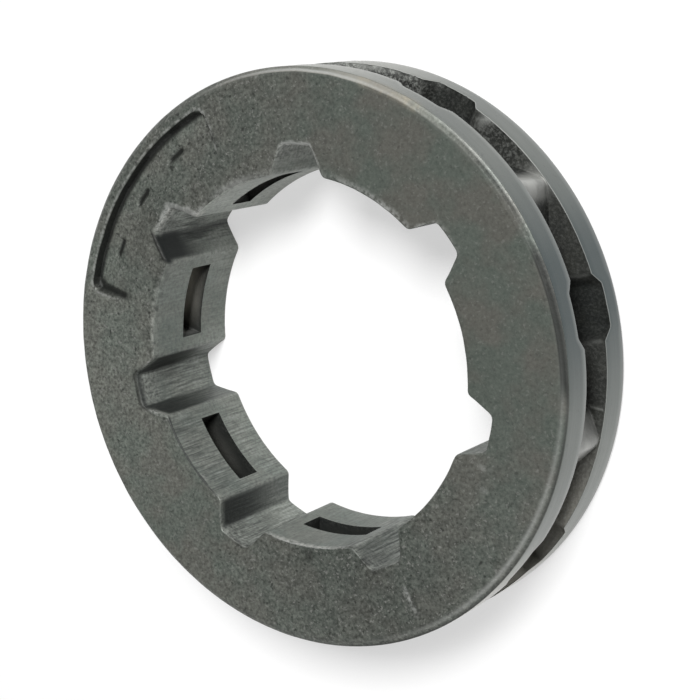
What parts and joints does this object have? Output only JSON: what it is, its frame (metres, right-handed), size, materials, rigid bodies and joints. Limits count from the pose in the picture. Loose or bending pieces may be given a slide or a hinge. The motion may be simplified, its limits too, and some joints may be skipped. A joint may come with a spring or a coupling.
{
  "type": "chainsaw rim sprocket",
  "caption": "Flat steel ring with a splined bore, two ground rails and drive teeth in the chain slot between them; it slides on a clutch drum and drives a saw chain.",
  "frame": {"origin": "centre of the ring at its back face", "axes": "+Z along the ring's axis, from the back face to the marked front face; +X through the middle of a bore land and its window"},
  "size_m": [0.03, 0.03, 0.0064],
  "materials": {
    "cast_steel": "as-cast grey steel with a ground rim and a broached bore"
  },
  "bodies": {
    "root": {"rim_sprocket": "cast_steel"}
  },
  "joints": []
}
